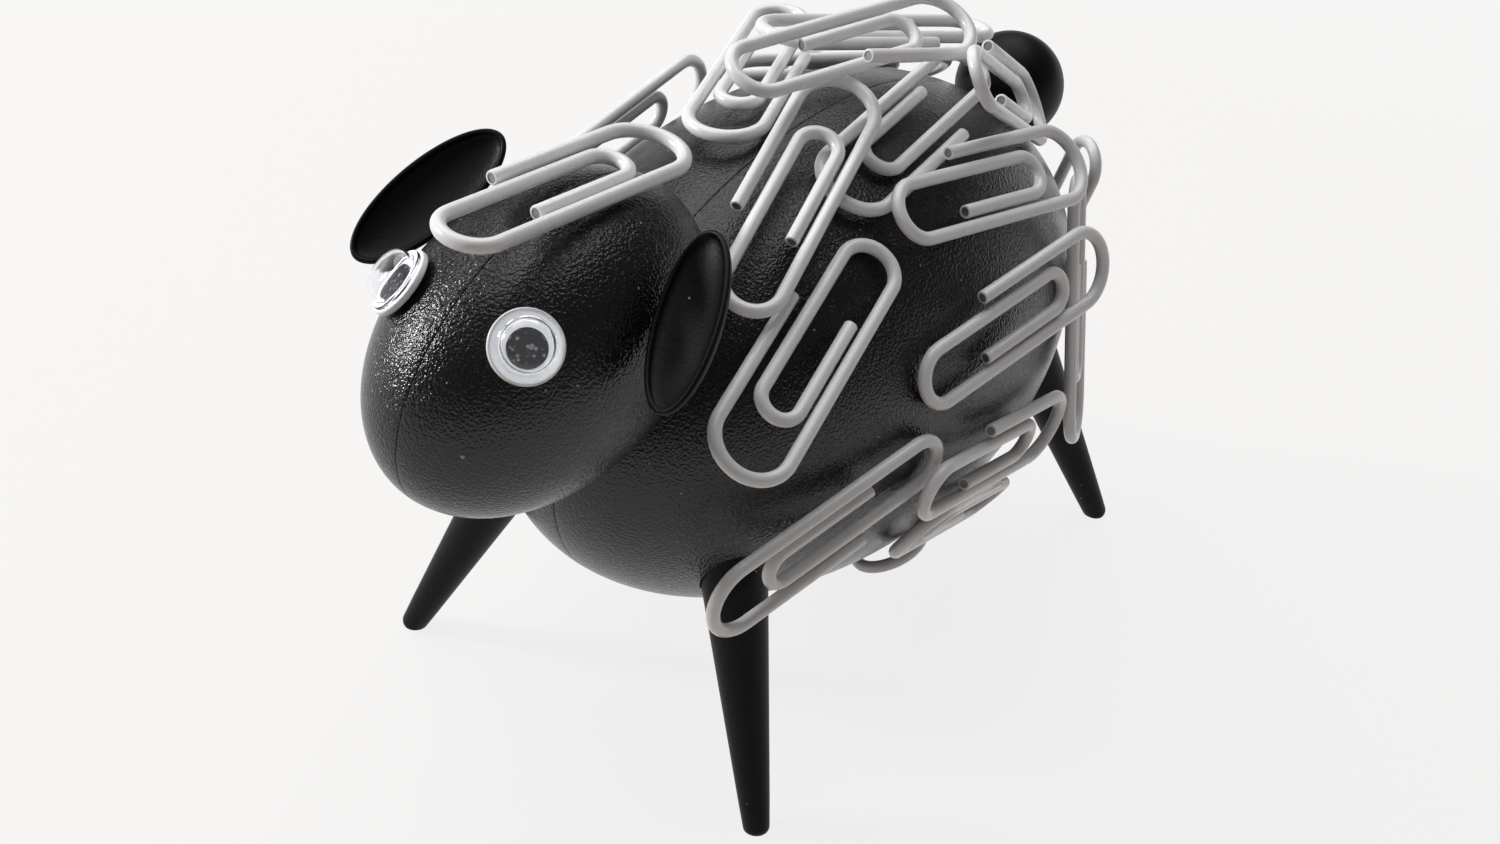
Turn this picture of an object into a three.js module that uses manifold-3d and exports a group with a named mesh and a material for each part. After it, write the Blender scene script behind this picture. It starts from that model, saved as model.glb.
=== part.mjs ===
// A desk holder for paper clips in the shape of a sheep. A hollow moulded body and head hold
// magnets, and coated wire clips cling to them as the wool.
// Millimetres, +Z up, head towards -Y, the sheep's left towards +X, feet on the ground.

import * as THREE from 'three';
import { mergeVertices } from 'three/addons/utils/BufferGeometryUtils.js';
import Module from 'manifold-3d';

const wasm = await Module();
wasm.setup();

// Clearance between pieces that sit in or on each other
const FIT = 0.3;
const EYE_FIT = 0.1;

// Body, an egg-like shell in two halves that meet on the upright middle plane
const BODY_WIDTH = 45.4;
const BODY_LENGTH = 74;
const BODY_HEIGHT = 47;
const BODY_CENTRE_Z = 31.5;
const WALL = 2;

// Pegs that line up the two halves, in bosses on the inside of the seam
const BOSS_RADIUS = 3;
const BOSS_REACH = 5;
const PEG_RADIUS = 1.3;
const PEG_LENGTH = 3;
const BODY_BOSS_ANGLES = [90, 215, 325];
const HEAD_BOSS_ANGLES = [200, 300];

// Head, set on the neck point of the body and nodding down towards the nose
const HEAD_WIDTH = 23.2;
const HEAD_LENGTH = 34.4;
const HEAD_HEIGHT = 24;
const HEAD_NOD = 19.5;
const NECK_ANGLE = 27.4;
const NECK_REACH = 9.15;
const NECK_PIN_RADIUS = 2.4;
const NECK_FLANGE_RADIUS = 4;
const NECK_FLANGE_THICKNESS = 1.6;

// Tail ball on a short stem
const TAIL_RADIUS = 5.8;
const TAIL_ANGLE = 26.2;
const TAIL_BEDDING = 1;
const TAIL_STEM_RADIUS = 2;
const TAIL_STEM_REACH = 1.5;

// Legs, tapered round pegs in closed sockets. A foot stands out and back from its hip, which is
// placed on the body by angles: along from the middle towards the tail, around from the top.
const FRONT_FOOT_OUT = 8.55;
const FRONT_FOOT_BACK = -4.6;
const REAR_FOOT_OUT = 9.95;
const REAR_FOOT_BACK = 6.65;
const HIP_FRONT = { name: 'front', along: -45.7, around: 125.6, out: FRONT_FOOT_OUT, back: FRONT_FOOT_BACK };
const HIP_REAR = { name: 'rear', along: 49.5, around: 128.4, out: REAR_FOOT_OUT, back: REAR_FOOT_BACK };
const LEG_TOP_RADIUS = 3.05;
const LEG_TIP_RADIUS = 1.25;
const LEG_TIP_ROUND = 0.5;
const LEG_SEAT_DEPTH = 5;
const SOCKET_WALL = 1.4;

// Ears, thin dished leaves on a stem; the middle of the rim lies beside the head's middle
const EAR_LENGTH = 15.9;
const EAR_WIDTH = 6.5;
const EAR_DEPTH = 2;
const EAR_RIM = 0.5;
const EAR_WALL = 1;
const EAR_REACH = 1.8;
const EAR_BACK = 3.4;
const EAR_UP = 6.65;
const EAR_LONG_AXIS = [0.33, -0.75, -0.57];
const EAR_FACE_AXIS = [-0.22, -0.65, 0.73];
const EAR_STEM_RADIUS = 1;
const EAR_STEM_REACH = 6;

// Wobbly eyes: a white backing disc, a clear dome and a loose black disc
const EYE_ALONG = -22.8;
const EYE_AROUND = 35.3;
const EYE_RADIUS = 3;
const EYE_BACKING = 0.5;
const DOME_FLANGE_RADIUS = 2.75;
const DOME_FLANGE_HEIGHT = 0.3;
const DOME_RADIUS = 2.26;
const DOME_HEIGHT = 1.9;
const DOME_WALL = 0.25;
const PUPIL_RADIUS = 1.65;
const PUPIL_THICKNESS = 0.3;
const PUPIL_OFFSET = 0.2;

// Disc magnets in ring pockets on the inside of the shells
const MAGNET_RADIUS = 5;
const MAGNET_THICKNESS = 3;
const POCKET_WALL = 1.2;
const POCKET_PAD = 1;
const BODY_MAGNETS = [
  { name: 'upper', along: 3, around: 38 },
  { name: 'side', along: -3, around: 98 },
];
const HEAD_MAGNET = { along: 10, around: 0 };

// Paper clip, measured over the outside of the coated wire
const WIRE = 1.25;
const CLIP_LENGTH = 28;
const CLIP_WIDTH = 8.35;
const CLIP_TOP_LOOP = 6.45;
const CLIP_INNER_LOOP = 4.95;
const CLIP_INNER_START = 6.4;
const CLIP_OUTER_END = 17.5;
const CLIP_INNER_END = 18.5;

// Where the clips cling, in the order in which they were dropped on, all in degrees: along from
// the middle towards the tail, around from the top towards the left, turn is the way the clip
// points, tip and roll lean it, and lift bends its outer leg up.
const CLIPS = [
  { on: 'body', along: -3.9, around: -58, turn: 170, tip: -3, roll: 28, flip: true },
  { on: 'body', along: 0.8, around: -21, turn: 18, tip: 10, roll: 17, flip: true },
  { on: 'body', along: 3.9, around: 19, turn: 6, tip: 7, roll: 3, flip: true },
  { on: 'body', along: 30, around: 84, turn: 79, tip: -6, roll: 1, flip: true },
  { on: 'body', along: 3.1, around: 124, turn: 338, tip: 7, roll: -1 },
  { on: 'body', along: -38.4, around: 97, turn: 15, tip: -15, flip: true },
  { on: 'body', along: -0.8, around: 98, turn: 167, roll: 1, flip: true },
  { on: 'body', along: 2.3, around: 65, turn: 183, tip: -10, roll: -5, flip: true },
  { on: 'body', along: 7.8, around: 38, turn: 168, tip: -5, roll: -6, flip: true },
  { on: 'body', along: -38.4, around: 50, turn: 23, tip: -20, roll: -11 },
  { on: 'body', along: -22.2, around: 16, turn: 198, tip: -3, roll: -1, flip: true },
  { on: 'head', along: 18.6, around: 0, turn: 178, tip: 10, roll: -4, flip: true },
  { on: 'body', along: 21.4, around: -9, turn: 339, tip: 1, roll: 8, flip: true },
  { on: 'body', along: 0.8, around: -1, turn: 166, tip: -1, roll: -25, lift: 17 },
  { on: 'body', along: 3.1, around: -118, turn: 350 },
  { on: 'body', along: -36.5, around: -97, turn: 174 },
  { on: 'body', along: 7.8, around: -87, turn: 354, flip: true },
  { on: 'body', along: -30.9, around: -76, turn: 25, tip: 5 },
  { on: 'body', along: 42.5, around: -83, turn: 74, flip: true },
  { on: 'body', along: 32.7, around: -37, turn: 163, flip: true },
  { on: 'body', along: 34.6, around: -143, turn: 39, flip: true },
  { on: 'body', along: 15.7, around: 152, turn: 345, flip: true },
  { on: 'body', along: 66.8, around: 100, turn: 96 },
  { on: 'body', along: 24.1, around: 15.9, turn: 178.6, tip: 16.7, roll: -35.8, flip: true },
];

// Flat sides and rings used for the round forms
const BODY_SIDES = 26;
const BODY_RINGS = 16;
const HEAD_SIDES = 20;
const HEAD_RINGS = 12;
const INNER_SHARE = 0.6;
const ROUND_SIDES = 12;
const EYE_SIDES = 14;
const EAR_RINGS = 8;
const WIRE_SIDES = 6;
const LOOP_STEPS = 6;
const INNER_LOOP_STEPS = 5;
const SEAT_STEP = 0.5;

const blackPlastic = new THREE.MeshStandardMaterial({ color: 0x151517, roughness: 0.45, metalness: 0 });
const whiteVinyl = new THREE.MeshStandardMaterial({ color: 0xe4e6ea, roughness: 0.3, metalness: 0 });
const whitePlastic = new THREE.MeshStandardMaterial({ color: 0xf0f0f0, roughness: 0.35, metalness: 0 });
const clearPlastic = new THREE.MeshStandardMaterial({
  color: 0xffffff, roughness: 0.05, metalness: 0, transparent: true, opacity: 0.35,
});
const pupilPlastic = new THREE.MeshStandardMaterial({ color: 0x0d0d0e, roughness: 0.6, metalness: 0 });
const ferrite = new THREE.MeshStandardMaterial({ color: 0x3a3a3d, roughness: 0.6, metalness: 0.4 });

const UP = new THREE.Vector3(0, 1, 0);
const radians = THREE.MathUtils.degToRad;

// A closed three.js geometry as a solid for joining and cutting
function solid(geometry) {
  const bare = geometry.clone();
  bare.deleteAttribute('normal');
  bare.deleteAttribute('uv');
  const merged = mergeVertices(bare, 1e-4);
  const index = merged.index.array;
  const faces = [];
  for (let i = 0; i < index.length; i += 3) {
    const [a, b, c] = [index[i], index[i + 1], index[i + 2]];
    if (a !== b && b !== c && c !== a) faces.push(a, b, c);
  }
  return new wasm.Manifold(new wasm.Mesh({
    numProp: 3,
    vertProperties: Float32Array.from(merged.attributes.position.array),
    triVerts: Uint32Array.from(faces),
  }));
}

// A joined or cut solid back as a three.js geometry
function geometryOf(manifold) {
  const mesh = manifold.getMesh();
  const geometry = new THREE.BufferGeometry();
  geometry.setAttribute('position', new THREE.BufferAttribute(mesh.vertProperties, 3));
  geometry.setIndex(new THREE.BufferAttribute(mesh.triVerts, 1));
  geometry.computeVertexNormals();
  return geometry;
}

function piece(name, geometry, material) {
  const mesh = new THREE.Mesh(geometry, material);
  mesh.name = name;
  return mesh;
}

// A round bar from a point along a direction, over the stretch from start to end
function bar(radius, point, direction, start, end, sides = ROUND_SIDES) {
  const geometry = new THREE.CylinderGeometry(radius, radius, end - start, sides);
  geometry.translate(0, (start + end) / 2, 0);
  geometry.applyQuaternion(new THREE.Quaternion().setFromUnitVectors(UP, direction));
  geometry.translate(point.x, point.y, point.z);
  return solid(geometry);
}

// The egg forms that the shells are cut from: half sizes, centre and nod about X
const body = {
  half: new THREE.Vector3(BODY_WIDTH / 2, BODY_LENGTH / 2, BODY_HEIGHT / 2),
  centre: new THREE.Vector3(0, 0, BODY_CENTRE_Z),
  turn: new THREE.Quaternion(),
};

// A point of the middle plane on the body's outline, at an angle from the front or rear end
function onMiddlePlane(egg, angle, towards) {
  const a = radians(angle);
  const local = new THREE.Vector3(0, towards * egg.half.y * Math.cos(a), egg.half.z * Math.sin(a));
  return surfaceAt(egg, local);
}

// A point of an egg's surface, with its outward normal, from a place given in the egg's frame
function surfaceAt(egg, local) {
  const normal = local.clone().divide(egg.half).divide(egg.half).normalize();
  return {
    point: local.clone().applyQuaternion(egg.turn).add(egg.centre),
    normal: normal.applyQuaternion(egg.turn),
  };
}

// The same from the angles along and around, on the left or right side
function surfacePoint(egg, along, around, side = 1) {
  const ring = Math.cos(radians(along));
  const a = radians(around);
  const local = new THREE.Vector3(side * ring * Math.sin(a), Math.sin(radians(along)), ring * Math.cos(a));
  return surfaceAt(egg, local.multiply(egg.half));
}

const neck = onMiddlePlane(body, NECK_ANGLE, -1);
const head = {
  half: new THREE.Vector3(HEAD_WIDTH / 2, HEAD_LENGTH / 2, HEAD_HEIGHT / 2),
  centre: neck.point.clone().addScaledVector(neck.normal, NECK_REACH),
  turn: new THREE.Quaternion().setFromAxisAngle(new THREE.Vector3(1, 0, 0), radians(HEAD_NOD)),
};

const tailRoot = onMiddlePlane(body, TAIL_ANGLE, 1);
const tail = {
  half: new THREE.Vector3(TAIL_RADIUS, TAIL_RADIUS, TAIL_RADIUS),
  centre: tailRoot.point.clone().addScaledVector(tailRoot.normal, TAIL_RADIUS - TAIL_BEDDING),
  turn: new THREE.Quaternion(),
};

// An egg grown or shrunk by an offset
function eggSolid(egg, offset, sides, rings) {
  const geometry = new THREE.SphereGeometry(1, sides, rings);
  geometry.scale(egg.half.x + offset, egg.half.y + offset, egg.half.z + offset);
  geometry.applyQuaternion(egg.turn);
  geometry.translate(egg.centre.x, egg.centre.y, egg.centre.z);
  return solid(geometry);
}

const bodyEgg = (offset) => eggSolid(body, offset, BODY_SIDES, BODY_RINGS);
const headEgg = (offset) => eggSolid(head, offset, HEAD_SIDES, HEAD_RINGS);

// The inside of a shell, with fewer faces than the outside, and less a clearance where asked
function hollow(egg, sides, rings, clearance = 0) {
  const share = (count) => Math.round(count * INNER_SHARE);
  return eggSolid(egg, -WALL - clearance, share(sides), share(rings));
}

// The half of space on the left (1) or right (-1) of the middle plane
function halfSpace(side) {
  const size = 4 * BODY_LENGTH;
  const geometry = new THREE.BoxGeometry(size, size, size);
  geometry.translate(side * size / 2, 0, 0);
  return solid(geometry);
}

// A magnet pocket: a round pad with a ring round the magnet, seen from the surface inwards
function magnetPocket(spot) {
  const inwards = spot.normal.clone().negate();
  const floor = WALL + POCKET_PAD;
  const outer = MAGNET_RADIUS + FIT + POCKET_WALL;
  const block = bar(outer, spot.point, inwards, 0, floor + FIT + MAGNET_THICKNESS);
  const bore = bar(MAGNET_RADIUS + FIT, spot.point, inwards, floor, floor + 2 * MAGNET_THICKNESS);
  return { block, bore };
}

function magnet(name, spot) {
  const inwards = spot.normal.clone().negate();
  const start = WALL + POCKET_PAD + FIT;
  const disc = bar(MAGNET_RADIUS, spot.point, inwards, start, start + MAGNET_THICKNESS);
  return piece(name, geometryOf(disc), ferrite);
}

// Seam bosses of an egg: where their middles lie, just inside the wall
function bossPoints(egg, angles) {
  return angles.map((angle) => {
    const spot = onMiddlePlane(egg, angle, -1);
    return spot.point.addScaledVector(spot.normal, -(WALL + BOSS_RADIUS * 0.6));
  });
}

const LEFT = new THREE.Vector3(1, 0, 0);

// The line of a leg: from the hip on the surface down to the middle of the foot
function legLine(hip, side) {
  const top = surfacePoint(body, hip.along, hip.around, side).point;
  const foot = new THREE.Vector3(top.x + side * hip.out, top.y + hip.back, 0);
  const upwards = top.clone().sub(foot);
  const length = upwards.length();
  return { foot, length, upwards: upwards.normalize() };
}

const SIDES = [{ name: 'left', side: 1 }, { name: 'right', side: -1 }];
const HIPS = [HIP_FRONT, HIP_REAR];

// Half of the body with its leg sockets, magnet pockets, seam bosses and neck and tail holes
function bodyHalf(side) {
  const outer = bodyEgg(0);
  let shell = outer.subtract(hollow(body, BODY_SIDES, BODY_RINGS));
  const cuts = [];
  for (const hip of HIPS) {
    const line = legLine(hip, side);
    const depth = line.length + LEG_SEAT_DEPTH + FIT;
    const radius = LEG_TOP_RADIUS + FIT;
    const start = line.length - 2 * LEG_TOP_RADIUS;
    const socket = bar(radius + SOCKET_WALL, line.foot, line.upwards, start, depth + SOCKET_WALL);
    shell = shell.add(socket.intersect(outer));
    cuts.push(bar(radius, line.foot, line.upwards, line.length - 4 * LEG_TOP_RADIUS, depth));
  }
  for (const place of BODY_MAGNETS) {
    const pocket = magnetPocket(surfacePoint(body, place.along, place.around, side));
    shell = shell.add(pocket.block.intersect(outer));
    cuts.push(pocket.bore);
  }
  for (const point of bossPoints(body, BODY_BOSS_ANGLES)) {
    shell = shell.add(bar(BOSS_RADIUS, point, LEFT, -BOSS_REACH, BOSS_REACH).intersect(outer));
  }
  cuts.push(bar(NECK_PIN_RADIUS + FIT, neck.point, neck.normal, -2 * WALL, 2 * WALL));
  cuts.push(bar(TAIL_STEM_RADIUS + FIT, tailRoot.point, tailRoot.normal, -2 * WALL, 2 * WALL));
  for (const cut of cuts) shell = shell.subtract(cut);
  return withPegs(shell.intersect(halfSpace(side)), side, bossPoints(body, BODY_BOSS_ANGLES));
}

// Pegs stand on the left half and reach into holes of the right half
function withPegs(half, side, points) {
  let result = half;
  for (const point of points) {
    if (side > 0) {
      result = result.add(bar(PEG_RADIUS, point, LEFT, -PEG_LENGTH, PEG_LENGTH));
    } else {
      result = result.subtract(bar(PEG_RADIUS + FIT, point, LEFT, -PEG_LENGTH - FIT, PEG_LENGTH));
    }
  }
  return result;
}

// Half of the head, whose back is dished to sit on the body
function headHalf(side) {
  const seat = bodyEgg(FIT);
  const outer = headEgg(0).subtract(seat);
  const inside = hollow(head, HEAD_SIDES, HEAD_RINGS).subtract(bodyEgg(FIT + WALL));
  let shell = outer.subtract(inside);
  const pocket = magnetPocket(surfacePoint(head, HEAD_MAGNET.along, HEAD_MAGNET.around));
  shell = shell.add(pocket.block.intersect(outer)).subtract(pocket.bore);
  for (const point of bossPoints(head, HEAD_BOSS_ANGLES)) {
    shell = shell.add(bar(BOSS_RADIUS, point, LEFT, -BOSS_REACH, BOSS_REACH).intersect(outer));
  }
  const ear = earLines(side);
  shell = shell.subtract(bar(EAR_STEM_RADIUS + FIT, ear.root, ear.inwards, -WALL, EAR_STEM_REACH + FIT));
  shell = shell.subtract(bar(NECK_PIN_RADIUS + FIT, neck.point, neck.normal, -WALL, 2 * WALL));
  return withPegs(shell.intersect(halfSpace(side)), side, bossPoints(head, HEAD_BOSS_ANGLES));
}

// The pin that ties head to body, with a flange inside each
function neckPin() {
  const reach = FIT + WALL + FIT + NECK_FLANGE_THICKNESS;
  const shaft = bar(NECK_PIN_RADIUS, neck.point, neck.normal, -reach, reach);
  const flange = bar(NECK_FLANGE_RADIUS, neck.point, neck.normal, 0, reach);
  const headFlange = flange.subtract(bodyEgg(FIT + WALL + FIT));
  const lower = bar(NECK_FLANGE_RADIUS, neck.point, neck.normal, -reach - FIT, 0);
  const bodyFlange = lower.intersect(hollow(body, BODY_SIDES, BODY_RINGS, FIT));
  return shaft.add(headFlange).add(bodyFlange);
}

// The tail ball, bedded on the body, with its stem
function tailBall() {
  const ball = eggSolid(tail, 0, ROUND_SIDES + 4, ROUND_SIDES).subtract(bodyEgg(FIT));
  const stem = bar(TAIL_STEM_RADIUS, tailRoot.point, tailRoot.normal, -WALL - TAIL_STEM_REACH, TAIL_RADIUS);
  return ball.add(stem);
}

// A leg, its foot cut flat on the ground
function leg(hip, side) {
  const line = legLine(hip, side);
  const below = 2 * LEG_TIP_RADIUS;
  const profile = [
    new THREE.Vector2(0, -below),
    new THREE.Vector2(LEG_TIP_RADIUS, -below),
    new THREE.Vector2(LEG_TIP_RADIUS, LEG_TIP_ROUND),
    new THREE.Vector2(LEG_TOP_RADIUS, line.length),
    new THREE.Vector2(LEG_TOP_RADIUS, line.length + LEG_SEAT_DEPTH),
    new THREE.Vector2(0, line.length + LEG_SEAT_DEPTH),
  ];
  const geometry = new THREE.LatheGeometry(profile, ROUND_SIDES);
  geometry.applyQuaternion(new THREE.Quaternion().setFromUnitVectors(UP, line.upwards));
  geometry.translate(line.foot.x, line.foot.y, line.foot.z);
  const size = 4 * BODY_LENGTH;
  const ground = new THREE.BoxGeometry(size, size, size);
  ground.translate(0, 0, -size / 2);
  return solid(geometry).subtract(solid(ground));
}

// An ear's rim: its middle, its directions, and the line of the stem from its bottom to the head
function earLines(side) {
  const inHead = (x, y, z) => new THREE.Vector3(x, y, z).applyQuaternion(head.turn).add(head.centre);
  const middle = inHead(side * (HEAD_WIDTH / 2 + EAR_REACH), EAR_BACK, EAR_UP);
  const long = new THREE.Vector3(side * EAR_LONG_AXIS[0], EAR_LONG_AXIS[1], EAR_LONG_AXIS[2]).normalize();
  const face = new THREE.Vector3(side * EAR_FACE_AXIS[0], EAR_FACE_AXIS[1], EAR_FACE_AXIS[2]);
  face.addScaledVector(long, -face.dot(long)).normalize();
  const across = new THREE.Vector3().crossVectors(long, face);
  const frame = new THREE.Matrix4().makeBasis(across, long, face).setPosition(middle);
  const root = middle.clone().addScaledVector(face, EAR_WALL / 2 - EAR_DEPTH);
  const inwards = inHead(0, EAR_BACK, 0).sub(root).normalize();
  return { frame, root, inwards };
}

// An ear: a leaf-shaped bowl, cut where the head is, with its stem
function ear(side) {
  const { frame, root, inwards } = earLines(side);
  const bowl = (width, length, depth) => {
    const geometry = new THREE.SphereGeometry(1, ROUND_SIDES, EAR_RINGS);
    geometry.scale(width / 2, length / 2, depth);
    return solid(geometry.applyMatrix4(frame));
  };
  const above = new THREE.BoxGeometry(2 * EAR_WIDTH, 2 * EAR_LENGTH, 2 * EAR_DEPTH);
  above.translate(0, 0, EAR_DEPTH);
  const dish = bowl(EAR_WIDTH - 2 * EAR_RIM, EAR_LENGTH - 2 * EAR_RIM, EAR_DEPTH - EAR_WALL);
  const leaf = bowl(EAR_WIDTH, EAR_LENGTH, EAR_DEPTH).subtract(headEgg(FIT));
  const stem = bar(EAR_STEM_RADIUS, root, inwards, 0, EAR_STEM_REACH, ROUND_SIDES / 2);
  return leaf.add(stem).subtract(dish).subtract(solid(above.applyMatrix4(frame)));
}

// An eye, drawn round its own upright axis and then set on the head
function eye(name, side) {
  const group = new THREE.Group();
  const spot = surfacePoint(head, EYE_ALONG, EYE_AROUND, side);
  group.position.copy(spot.point);
  group.quaternion.setFromUnitVectors(UP, spot.normal);
  const seat = EYE_FIT + EYE_BACKING;
  const backing = new THREE.CylinderGeometry(EYE_RADIUS, EYE_RADIUS, EYE_BACKING, EYE_SIDES);
  backing.translate(0, EYE_FIT + EYE_BACKING / 2, 0);
  const foot = seat + EYE_FIT;
  const inside = DOME_RADIUS - DOME_WALL;
  const shoulder = foot + DOME_HEIGHT / 2;
  const top = foot + DOME_HEIGHT;
  const profile = [
    new THREE.Vector2(inside, foot),
    new THREE.Vector2(DOME_FLANGE_RADIUS, foot),
    new THREE.Vector2(DOME_FLANGE_RADIUS, foot + DOME_FLANGE_HEIGHT),
    new THREE.Vector2(DOME_RADIUS, foot + DOME_FLANGE_HEIGHT),
    new THREE.Vector2(DOME_RADIUS, shoulder),
    new THREE.Vector2(DOME_RADIUS * 0.8, (shoulder + 2 * top) / 3),
    new THREE.Vector2(DOME_RADIUS * 0.4, top),
    new THREE.Vector2(0, top),
    new THREE.Vector2(0, top - DOME_WALL),
    new THREE.Vector2(inside * 0.4, top - DOME_WALL),
    new THREE.Vector2(inside * 0.8, (shoulder + 2 * top) / 3 - DOME_WALL),
    new THREE.Vector2(inside, shoulder - DOME_WALL),
    new THREE.Vector2(inside, foot),
  ];
  const dome = new THREE.LatheGeometry(profile, EYE_SIDES);
  const disc = new THREE.CylinderGeometry(PUPIL_RADIUS, PUPIL_RADIUS, PUPIL_THICKNESS, EYE_SIDES);
  const pupil = piece(`eye_pupil_${name}`, disc, pupilPlastic);
  const down = new THREE.Vector3(0, 0, -1).applyQuaternion(group.quaternion.clone().invert());
  down.setY(0).setLength(PUPIL_OFFSET);
  pupil.position.set(down.x, foot + PUPIL_THICKNESS / 2, down.z);
  group.add(piece(`eye_backing_${name}`, backing, whitePlastic));
  group.add(piece(`eye_dome_${name}`, dome, clearPlastic));
  group.add(pupil);
  return group;
}

// A path that keeps exactly the knots and directions it is given
class WirePath extends THREE.Curve {
  constructor(knots) {
    super();
    this.knots = knots;
  }

  knotAt(t) {
    return this.knots[Math.round(t * (this.knots.length - 1))];
  }

  getPoint(t, target = new THREE.Vector3()) {
    return target.copy(this.knotAt(t).point);
  }

  getTangent(t, target = new THREE.Vector3()) {
    return target.copy(this.knotAt(t).heading);
  }

  getUtoTmapping(u) {
    return u;
  }
}

// The wire's middle line: outer leg, wide loop, long side, top loop, inner loop, inner leg.
// It lies flat and centred on the clip, apart from an outer leg bent up by lift degrees.
function clipKnots(lift) {
  const knots = [];
  const middle = (CLIP_LENGTH - WIRE) / 2;
  const wide = (CLIP_WIDTH - WIRE) / 2;
  const top = (CLIP_TOP_LOOP - WIRE) / 2;
  const inner = (CLIP_INNER_LOOP - WIRE) / 2;
  const add = (x, y, heading, z = 0) => {
    knots.push({ point: new THREE.Vector3(x, y - middle, z), heading: heading.normalize() });
  };
  const loop = (x, y, radius, from, steps) => {
    for (let i = 0; i <= steps; i += 1) {
      const a = from + Math.PI * i / steps;
      add(x + radius * Math.cos(a), y + radius * Math.sin(a), new THREE.Vector3(-Math.sin(a), Math.cos(a), 0));
    }
  };
  const legLength = CLIP_OUTER_END - wide;
  const rise = legLength * Math.sin(lift);
  add(-wide, wide + legLength * Math.cos(lift), new THREE.Vector3(0, -Math.cos(lift), -Math.sin(lift)), rise);
  loop(0, wide, wide, Math.PI, LOOP_STEPS);
  knots[1].heading.set(0, -Math.cos(lift / 2), -Math.sin(lift / 2));
  loop(wide - top, 2 * middle - top, top, 0, LOOP_STEPS);
  const innerSide = wide - 2 * top;
  loop(innerSide + inner, CLIP_INNER_START + inner, inner, Math.PI, INNER_LOOP_STEPS);
  add(innerSide + 2 * inner, CLIP_INNER_END, new THREE.Vector3(0, 1, 0));
  return knots;
}

function clipGeometry(knots) {
  const section = new THREE.Shape();
  section.absarc(0, 0, WIRE / 2, 0, 2 * Math.PI);
  const outline = new THREE.Shape(section.getSpacedPoints(WIRE_SIDES).slice(0, WIRE_SIDES));
  return new THREE.ExtrudeGeometry(outline, {
    steps: knots.length - 1, extrudePath: new WirePath(knots), bevelEnabled: false,
  });
}

// Points along a wire, close enough together to stand for it
function wirePoints(knots, matrix) {
  const points = [];
  for (let i = 1; i < knots.length; i += 1) {
    const [a, b] = [knots[i - 1].point, knots[i].point];
    const count = Math.ceil(a.distanceTo(b) / SEAT_STEP);
    for (let k = 0; k < count; k += 1) {
      points.push(a.clone().lerp(b, k / count).applyMatrix4(matrix));
    }
  }
  points.push(knots[knots.length - 1].point.clone().applyMatrix4(matrix));
  return points;
}

// How far a point must be lifted along a direction to leave an egg grown by an offset
function liftOffEgg(point, direction, egg, offset) {
  const back = egg.turn.clone().invert();
  const size = egg.half.clone().addScalar(offset);
  const from = point.clone().sub(egg.centre).applyQuaternion(back).divide(size);
  const way = direction.clone().applyQuaternion(back).divide(size);
  const a = way.dot(way);
  const b = from.dot(way);
  const root = b * b - a * (from.dot(from) - 1);
  return root > 0 ? (Math.sqrt(root) - b) / a : -Infinity;
}

// How far it must be lifted to pass over a point of another wire
function liftOverPoint(point, direction, other, distance) {
  const away = other.clone().sub(point);
  const along = away.dot(direction);
  const aside = away.lengthSq() - along * along;
  const room = distance * distance - aside;
  return room > 0 ? along + Math.sqrt(room) : -Infinity;
}

// The frame of a clip on an egg: middle, across, lengthwise and outward directions
function clipFrame(place) {
  const egg = place.on === 'head' ? head : body;
  const spot = surfacePoint(egg, place.along, place.around);
  const normal = spot.normal;
  const backwards = new THREE.Vector3(0, 1, 0).applyQuaternion(egg.turn);
  backwards.addScaledVector(normal, -backwards.dot(normal)).normalize();
  const lengthwise = backwards.applyAxisAngle(normal, radians(place.turn));
  const across = new THREE.Vector3().crossVectors(lengthwise, normal);
  lengthwise.applyAxisAngle(across, radians(place.tip ?? 0));
  normal.applyAxisAngle(across, radians(place.tip ?? 0));
  across.applyAxisAngle(lengthwise, radians(place.roll ?? 0));
  normal.applyAxisAngle(lengthwise, radians(place.roll ?? 0));
  return { middle: spot.point, across, lengthwise, normal };
}

// Lay a clip: it comes down along its normal until its wire meets what is already there
function layClip(name, place, laid) {
  const frame = clipFrame(place);
  const face = place.flip ? -1 : 1;
  const knots = clipKnots(face * radians(place.lift ?? 0));
  const basis = new THREE.Matrix4().makeBasis(
    frame.across.clone().multiplyScalar(face), frame.lengthwise, frame.normal.clone().multiplyScalar(face),
  );
  basis.setPosition(frame.middle);
  const points = wirePoints(knots, basis);
  let height = -Infinity;
  for (const point of points) {
    for (const egg of [body, head, tail]) {
      height = Math.max(height, liftOffEgg(point, frame.normal, egg, WIRE / 2 + FIT));
    }
    for (const other of laid) {
      height = Math.max(height, liftOverPoint(point, frame.normal, other, WIRE + FIT));
    }
  }
  const mesh = piece(name, clipGeometry(knots), whiteVinyl);
  mesh.setRotationFromMatrix(basis);
  mesh.position.copy(frame.middle).addScaledVector(frame.normal, height);
  for (const point of points) laid.push(point.addScaledVector(frame.normal, height));
  return mesh;
}

const holder = new THREE.Group();

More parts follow.
